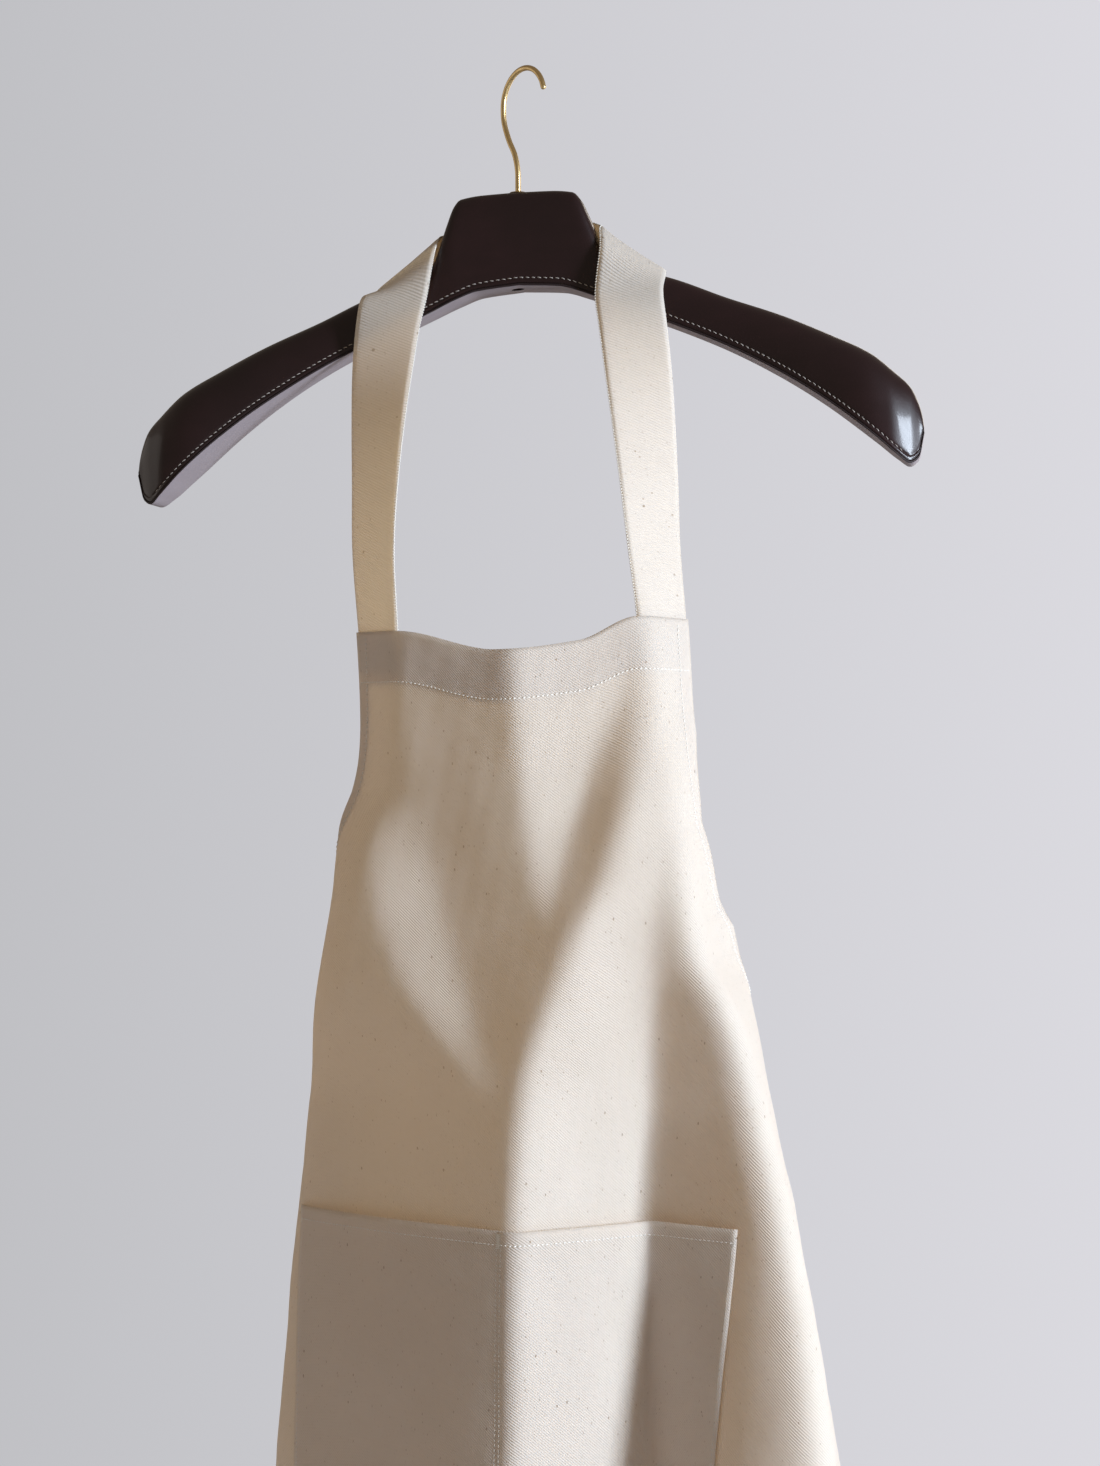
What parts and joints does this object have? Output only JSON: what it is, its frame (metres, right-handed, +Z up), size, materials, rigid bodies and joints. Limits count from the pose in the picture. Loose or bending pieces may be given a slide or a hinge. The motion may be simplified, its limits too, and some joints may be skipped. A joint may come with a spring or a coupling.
{
  "type": "bib apron on a coat hanger",
  "caption": "Natural canvas bib apron with neck loop and divided pocket, hung on a dark leather-covered shaped coat hanger with a brass swivel hook",
  "frame": {"origin": "the hook seat: the inside top of the hook's bend, where it rests on a rail", "axes": "+Z up, +X along the hanger to the viewer's right, -Y the apron's front"},
  "size_m": [0.505, 0.2508, 1.1882],
  "materials": {
    "brass": "satin brushed brass",
    "beech": "plain sanded beech",
    "leather": "glossy dark oxblood leather",
    "sole_leather": "matt grey-mauve leather",
    "thread": "waxed pale thread",
    "canvas": "unbleached cotton twill with dark seed flecks",
    "canvas_thread": "natural cotton sewing thread"
  },
  "bodies": {
    "hook": {"hook": "brass", "hook_washer": "brass", "hook_nut": "brass"},
    "hanger": {"hook_bush": "brass", "hook_eyelet": "brass", "core_left": "beech", "core_right": "beech", "dowel_front": "beech", "dowel_back": "beech", "leather_cover": "leather", "leather_sole": "sole_leather", "seam_thread_front": "thread", "seam_thread_back": "thread"},
    "neck_loop": {"neck_strap_loop": "canvas"},
    "apron": {"neck_strap_left_leg": "canvas", "neck_strap_right_leg": "canvas", "bib_top_facing": "canvas", "apron_panel": "canvas", "armhole_facing_left": "canvas", "armhole_facing_right": "canvas", "pocket_panel": "canvas", "pocket_tack_left": "canvas_thread", "pocket_tack_middle": "canvas_thread", "pocket_tack_right": "canvas_thread"},
    "tie_left": {"waist_tie_left": "canvas"},
    "tie_right": {"waist_tie_right": "canvas"}
  },
  "joints": [
    {"name": "hook_swivel", "type": "hinge", "parent": "hook", "child": "hanger", "pos_m": [-0.00389, 0.00389, -0.071], "axis": [0, 0, 1], "continuous": true},
    {"name": "apron_lift", "type": "slide", "parent": "hanger", "child": "neck_loop", "axis": [0, 0, 1], "range_m": [0, 0.03]},
    {"name": "apron_swing", "type": "hinge", "parent": "neck_loop", "child": "apron", "pos_m": [-0.00389, -0.01561, -0.131], "axis": [-1, 0, 0], "range_deg": [0, 35]},
    {"name": "tie_left_swing", "type": "hinge", "parent": "apron", "child": "tie_left", "pos_m": [-0.02016, 0.12956, -0.604], "axis": [1, 0, 0], "range_deg": [0, 70]},
    {"name": "tie_right_swing", "type": "hinge", "parent": "apron", "child": "tie_right", "pos_m": [0.06736, 0.0911, -0.604], "axis": [1, 0, 0], "range_deg": [0, 70]}
  ]
}
